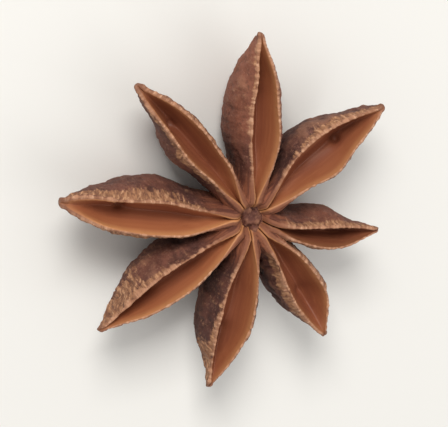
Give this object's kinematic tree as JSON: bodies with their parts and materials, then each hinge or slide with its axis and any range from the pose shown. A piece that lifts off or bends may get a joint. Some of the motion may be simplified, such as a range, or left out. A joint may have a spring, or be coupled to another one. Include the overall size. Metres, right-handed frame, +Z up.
{
  "type": "star anise pod",
  "caption": "Dried star-shaped spice pod: boat-shaped follicles, split open along the top, fused round a short woody column. Used whole to flavour food.",
  "frame": {"origin": "on the ground under the middle of the pod's box; the column stands 3.0 mm towards +X and 0.8 mm towards -Y of it", "axes": "+Z up along the column, open side of the follicles up; +Y along the follicle that points up in the picture; +X to the picture's right"},
  "size_m": [0.0336, 0.036, 0.009],
  "materials": {
    "husk": "dry woody husk, satin inside the hollows and matt and wrinkled outside"
  },
  "bodies": {
    "root": {"star_anise_pod": "husk"}
  },
  "joints": []
}
